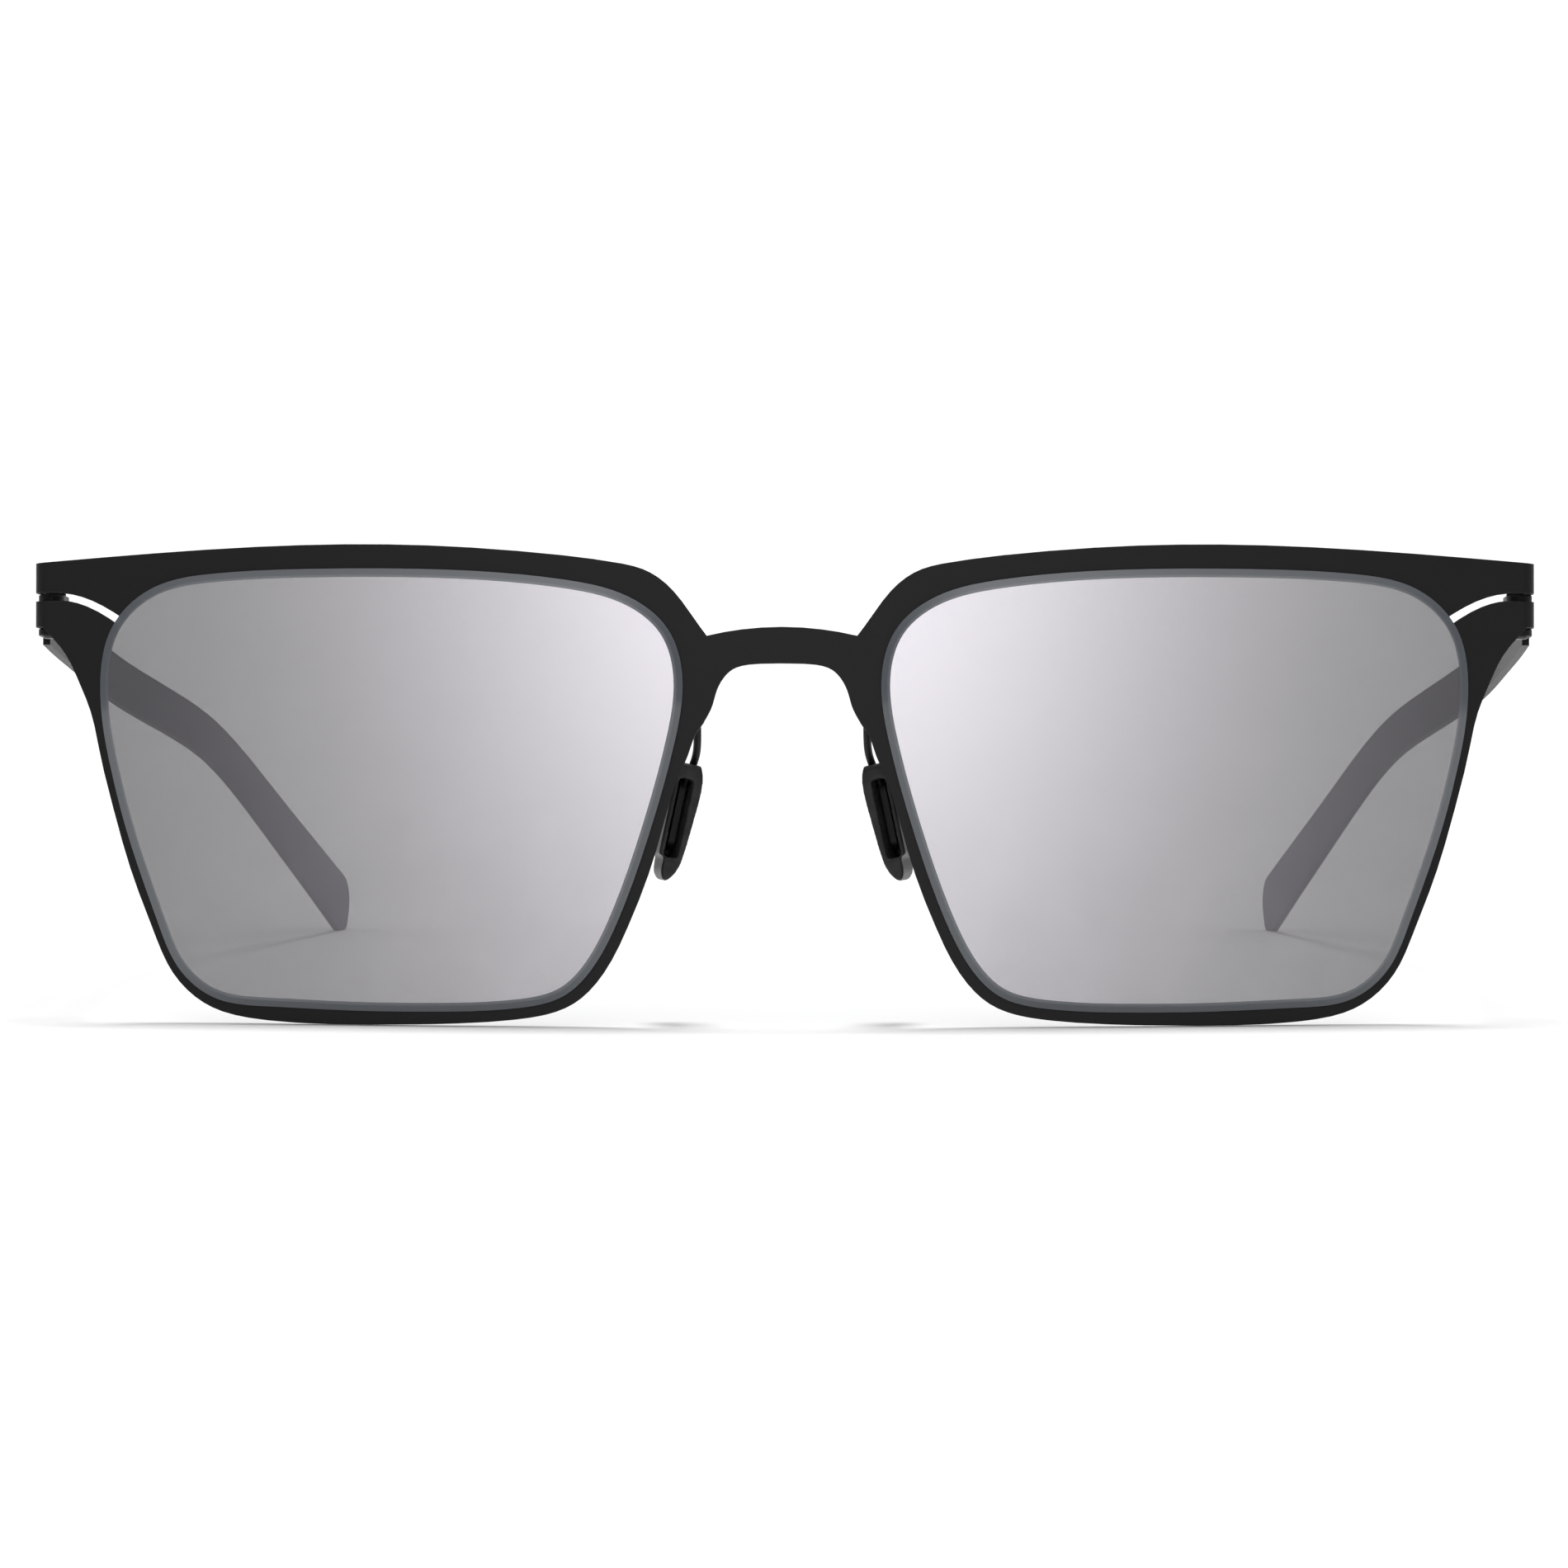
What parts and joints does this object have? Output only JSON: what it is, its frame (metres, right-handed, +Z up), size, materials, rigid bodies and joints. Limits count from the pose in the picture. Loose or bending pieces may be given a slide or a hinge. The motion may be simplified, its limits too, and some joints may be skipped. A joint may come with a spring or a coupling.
{
  "type": "sheet metal sunglasses",
  "caption": "Full-rim sheet-metal sunglasses with flat brow, wrapped front, mirrored bevelled lenses, silicone nose pads and folding temples on riveted barrel hinges.",
  "frame": {"origin": "centre of the footprint, on the surface that the open glasses stand on", "axes": "+Z up, -Y out of the lenses, +Y along the temples to the ears, +X to the right seen from the front"},
  "size_m": [0.1452, 0.1538, 0.0461],
  "materials": {
    "frame_metal": "matte black coating",
    "lens": "silver mirror over grey",
    "pad_silicone": "satin silicone",
    "pin_steel": "satin"
  },
  "bodies": {
    "front": {"front_frame": "frame_metal", "lens_left": "lens", "lens_right": "lens", "nose_pad_left": "pad_silicone", "nose_pad_right": "pad_silicone", "pad_arm_left": "frame_metal", "pad_arm_right": "frame_metal"},
    "temple_left": {"temple_left": "frame_metal", "hinge_pin_left": "pin_steel"},
    "temple_right": {"temple_right": "frame_metal", "hinge_pin_right": "pin_steel"}
  },
  "joints": [
    {"name": "temple_right_fold", "type": "hinge", "parent": "front", "child": "temple_right", "pos_m": [0.07125, -0.0623, 0.039], "axis": [0, 0.0698, 0.9976], "range_deg": [0, 84]},
    {"name": "temple_left_fold", "type": "hinge", "parent": "front", "child": "temple_left", "pos_m": [-0.07125, -0.0623, 0.039], "axis": [0, -0.0698, -0.9976], "range_deg": [0, 77]}
  ]
}
